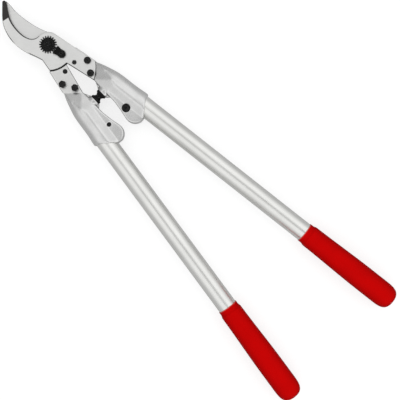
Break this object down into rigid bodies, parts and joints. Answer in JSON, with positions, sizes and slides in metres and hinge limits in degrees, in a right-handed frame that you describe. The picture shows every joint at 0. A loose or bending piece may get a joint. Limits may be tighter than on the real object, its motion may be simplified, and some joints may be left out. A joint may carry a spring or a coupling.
{
  "type": "bypass loppers",
  "caption": "Two-handed bypass loppers: hooked counter-blade and curved cutting blade on an adjustable pivot, with brackets, rubber bumpers, tube handles and red grips.",
  "frame": {"origin": "below the middle of the closed tool: centred on its length and width, on the surface that its grips rest on", "axes": "+Y along the centre line towards the blade tips, +X towards the handle with the counter-blade, +Z out of the face with the adjusting nut"},
  "size_m": [0.1954, 0.6, 0.0308],
  "materials": {
    "blade_steel": "ground steel",
    "pivot_hardware": "black oxide",
    "black_fasteners": "black oxide",
    "washer_steel": "plain steel",
    "cast_aluminium": "as forged, blasted",
    "tube_aluminium": "satin anodised",
    "red_grip": "matt moulded",
    "bumper_rubber": "matt"
  },
  "bodies": {
    "counter_blade_half": {"counter_blade": "blade_steel", "pivot_bolt": "pivot_hardware", "pivot_washer": "washer_steel", "adjusting_nut": "pivot_hardware", "lock_segment": "pivot_hardware", "lock_screw": "pivot_hardware", "right_bracket": "cast_aluminium", "right_bumper": "bumper_rubber", "right_clamp_screw": "black_fasteners", "right_grip": "red_grip", "right_lower_tang_bolt": "black_fasteners", "right_lower_tang_nut": "black_fasteners", "right_tang_pin": "black_fasteners", "right_tube": "tube_aluminium", "right_upper_tang_bolt": "black_fasteners", "right_upper_tang_nut": "black_fasteners"},
    "cutting_blade_half": {"cutting_blade": "blade_steel", "left_bracket": "cast_aluminium", "left_bumper": "bumper_rubber", "left_clamp_screw": "black_fasteners", "left_grip": "red_grip", "left_lower_tang_bolt": "black_fasteners", "left_lower_tang_nut": "black_fasteners", "left_tang_pin": "black_fasteners", "left_tube": "tube_aluminium", "left_upper_tang_bolt": "black_fasteners", "left_upper_tang_nut": "black_fasteners"}
  },
  "joints": [
    {"name": "blade_pivot", "type": "hinge", "parent": "counter_blade_half", "child": "cutting_blade_half", "pos_m": [0, 0.2225, 0.0154], "axis": [0, 0, -1], "range_deg": [0, 80]}
  ]
}
